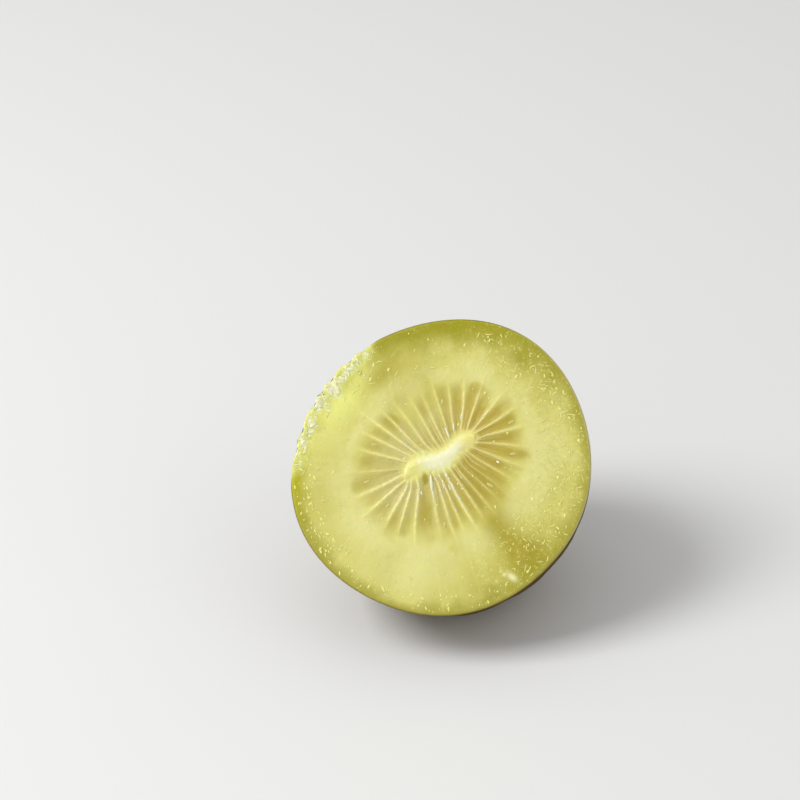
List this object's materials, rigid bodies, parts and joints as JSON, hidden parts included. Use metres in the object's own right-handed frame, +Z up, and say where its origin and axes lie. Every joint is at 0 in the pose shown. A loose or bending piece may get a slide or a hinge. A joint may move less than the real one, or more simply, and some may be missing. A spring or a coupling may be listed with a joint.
{
  "type": "halved golden kiwi fruit",
  "caption": "Half of a golden kiwi fruit lying on its skin, its cut face showing a pale core and a fan of fine rays in yellow-green flesh.",
  "frame": {"origin": "middle of the small flat spot on the skin that the half rests on", "axes": "+Z up, away from the surface it lies on; the cut face looks towards -Y and up, leaned 41 degrees above the horizon; +X is to the right as one faces the cut"},
  "size_m": [0.0544, 0.0495, 0.0509],
  "materials": {
    "golden_flesh": "wet, translucent yellow-green fruit flesh with a pale core, fine pale rays and small glossy specks",
    "brown_skin": "thin olive-brown fruit skin, nearly hairless, satin, mottled, with a darker dried blossom end"
  },
  "bodies": {
    "root": {"kiwi_half": "golden_flesh"}
  },
  "joints": []
}
